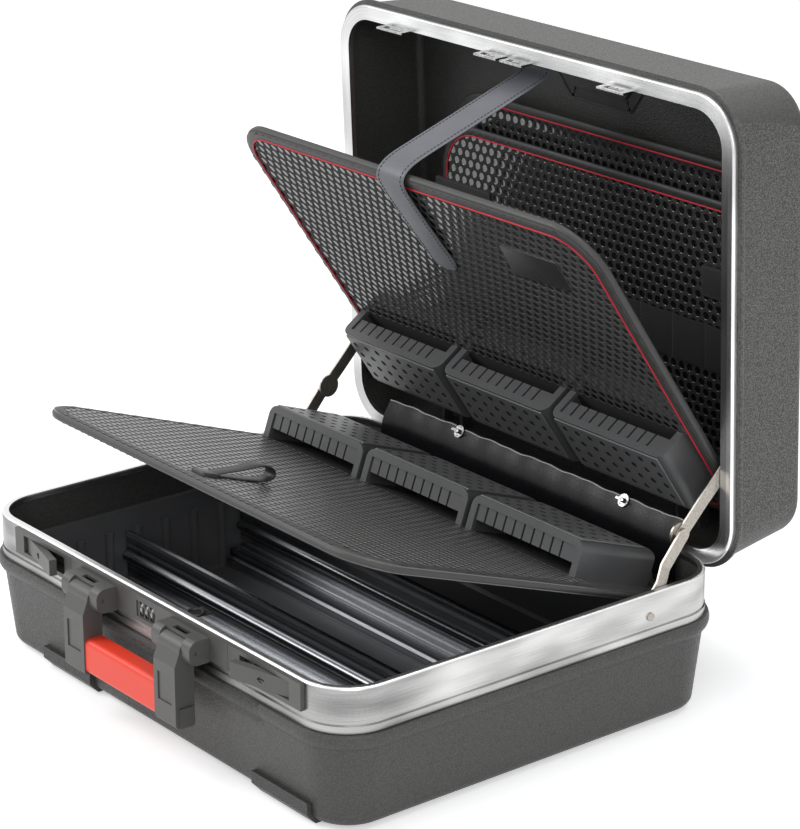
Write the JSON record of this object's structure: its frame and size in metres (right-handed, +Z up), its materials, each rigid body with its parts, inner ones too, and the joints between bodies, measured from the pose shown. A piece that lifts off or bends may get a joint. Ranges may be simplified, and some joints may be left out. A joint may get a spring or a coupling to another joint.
{
  "type": "hard tool case",
  "caption": "Open hard tool case: grey pebbled plastic shells, bright aluminium frame, red grip, two latches, three-dial lock, folding stays, two tool boards with pockets and two dividers.",
  "frame": {"origin": "centre of the box round the open case, on the surface it stands on", "axes": "+X to the right along the front, +Y from the handle to the back, +Z up"},
  "size_m": [0.4892, 0.4991, 0.4956],
  "materials": {
    "grey_plastic": "fine pebbled",
    "black_board": "embossed",
    "brushed_aluminium": "brushed",
    "dark_aluminium": "satin",
    "nickel": "nickel plated",
    "black_steel": "black",
    "black_plastic": "satin",
    "grey_webbing": "woven",
    "black_leathercloth": "soft",
    "red_rubber": "matte"
  },
  "bodies": {
    "base": {"base_shell": "grey_plastic", "base_frame": "brushed_aluminium", "base_liner": "black_board", "divider_front": "dark_aluminium", "divider_rear": "dark_aluminium", "lock_panel": "grey_plastic", "bracket_left": "grey_plastic", "bracket_right": "grey_plastic", "foot_front_left": "grey_plastic", "foot_front_right": "grey_plastic", "foot_rear_left": "grey_plastic", "foot_rear_right": "grey_plastic", "hinge_base_left": "nickel", "hinge_base_right": "nickel", "snap_tab": "black_leathercloth", "stay_rivet_left": "nickel", "stay_rivet_right": "nickel"},
    "lid": {"lid_shell": "grey_plastic", "lid_frame": "brushed_aluminium", "catch_left": "black_steel", "catch_mid": "black_steel", "catch_right": "black_steel", "hinge_lid_left": "nickel", "hinge_lid_right": "nickel", "rear_pocket": "black_leathercloth", "front_pocket": "black_board", "webbing": "grey_webbing", "stay_post_left": "nickel", "stay_post_right": "nickel", "strap": "grey_webbing", "hinge_cover": "black_leathercloth"},
    "handle": {"handle_arm_left": "grey_plastic", "handle_arm_right": "grey_plastic", "grip": "red_rubber"},
    "latch_left": {"latch_lever_left": "grey_plastic"},
    "latch_right": {"latch_lever_right": "grey_plastic"},
    "key_left": {"key_left": "nickel"},
    "key_right": {"key_right": "nickel"},
    "dial_1": {"dial_1": "black_plastic"},
    "dial_2": {"dial_2": "black_plastic"},
    "dial_3": {"dial_3": "black_plastic"},
    "stud_left": {"stud_left": "nickel"},
    "stud_right": {"stud_right": "nickel"},
    "stay_lower_left": {"stay_lower_left": "nickel"},
    "stay_lower_right": {"stay_lower_right": "nickel"},
    "stay_upper_left": {"stay_upper_left": "nickel"},
    "stay_upper_right": {"stay_upper_right": "nickel"},
    "lower_board": {"lower_board": "black_board", "lower_binding": "grey_webbing", "lower_pocket_1": "black_board", "lower_pocket_2": "black_board", "lower_pocket_3": "black_board", "pull_loop": "black_leathercloth"},
    "upper_board": {"upper_board": "black_board", "upper_binding": "grey_webbing", "upper_pocket_1": "black_board", "upper_pocket_2": "black_board", "upper_pocket_3": "black_board"}
  },
  "joints": [
    {"name": "lid_hinge", "type": "hinge", "parent": "base", "child": "lid", "pos_m": [0, 0.15885, 0.11123], "axis": [1, 0, 0], "range_deg": [0, 87.56], "deforming": ["strap", "hinge_cover"]},
    {"name": "lower_board_hinge", "type": "hinge", "parent": "base", "child": "lower_board", "pos_m": [0, 0.14245, 0.0865], "axis": [1, 0, 0], "range_deg": [0, 19.54]},
    {"name": "upper_board_hinge", "type": "hinge", "parent": "lid", "child": "upper_board", "pos_m": [0, 0.20932, 0.1357], "axis": [1, 0, 0], "range_deg": [-31.79, 0]},
    {"name": "stay_lower_left", "type": "hinge", "parent": "base", "child": "stay_lower_left", "pos_m": [-0.2329, 0.08045, 0.0985], "axis": [1, 0, 0], "range_deg": [0, 128.23]},
    {"name": "stay_knee_left", "type": "hinge", "parent": "stay_lower_left", "child": "stay_upper_left", "pos_m": [-0.226, 0.12429, 0.15061], "axis": [1, 0, 0], "range_deg": [-150.44, 0]},
    {"name": "stay_lower_right", "type": "hinge", "parent": "base", "child": "stay_lower_right", "pos_m": [0.2329, 0.08045, 0.0985], "axis": [1, 0, 0], "range_deg": [0, 128.23]},
    {"name": "stay_knee_right", "type": "hinge", "parent": "stay_lower_right", "child": "stay_upper_right", "pos_m": [0.226, 0.12429, 0.15061], "axis": [1, 0, 0], "range_deg": [-150.44, 0]},
    {"name": "handle_hinge", "type": "hinge", "parent": "base", "child": "handle", "pos_m": [0.001, -0.23605, 0.1015], "axis": [-1, 0, 0], "range_deg": [0, 90]},
    {"name": "latch_left", "type": "hinge", "parent": "base", "child": "latch_left", "pos_m": [-0.1592, -0.22155, 0.1053], "axis": [0, 0, 1], "range_deg": [-15, 14.5]},
    {"name": "latch_right", "type": "hinge", "parent": "base", "child": "latch_right", "pos_m": [0.1756, -0.22155, 0.1053], "axis": [0, 0, 1], "range_deg": [-14.5, 15]},
    {"name": "key_turn_left", "type": "hinge", "parent": "latch_left", "child": "key_left", "pos_m": [-0.1427, -0.22964, 0.1053], "axis": [0.2504, 0.9681, 0], "range_deg": [0, 90]},
    {"name": "key_turn_right", "type": "hinge", "parent": "latch_right", "child": "key_right", "pos_m": [0.1591, -0.22964, 0.1053], "axis": [-0.2504, 0.9681, 0], "range_deg": [0, 90]},
    {"name": "dial_1_turn", "type": "hinge", "parent": "base", "child": "dial_1", "pos_m": [-0.0025, -0.21925, 0.1045], "axis": [1, 0, 0], "continuous": true},
    {"name": "dial_2_turn", "type": "hinge", "parent": "base", "child": "dial_2", "pos_m": [0.0045, -0.21925, 0.1045], "axis": [1, 0, 0], "continuous": true},
    {"name": "dial_3_turn", "type": "hinge", "parent": "base", "child": "dial_3", "pos_m": [0.0115, -0.21925, 0.1045], "axis": [1, 0, 0], "continuous": true},
    {"name": "stud_turn_left", "type": "hinge", "parent": "lid", "child": "stud_left", "pos_m": [-0.088, 0.16235, 0.13736], "axis": [0, -0.8575, 0.5145], "range_deg": [0, 90]},
    {"name": "stud_turn_right", "type": "hinge", "parent": "lid", "child": "stud_right", "pos_m": [0.12, 0.16235, 0.13736], "axis": [0, -0.8575, 0.5145], "range_deg": [0, 90]}
  ],
  "couplings": [
    {"joint": "lower_board_hinge", "follows": "lid_hinge", "ratio": 0.22316},
    {"joint": "upper_board_hinge", "follows": "lid_hinge", "ratio": -0.36306},
    {"joint": "stay_lower_left", "follows": "lid_hinge", "ratio": 1.4645},
    {"joint": "stay_knee_left", "follows": "lid_hinge", "ratio": -1.7181},
    {"joint": "stay_lower_right", "follows": "lid_hinge", "ratio": 1.4645},
    {"joint": "stay_knee_right", "follows": "lid_hinge", "ratio": -1.7181}
  ]
}
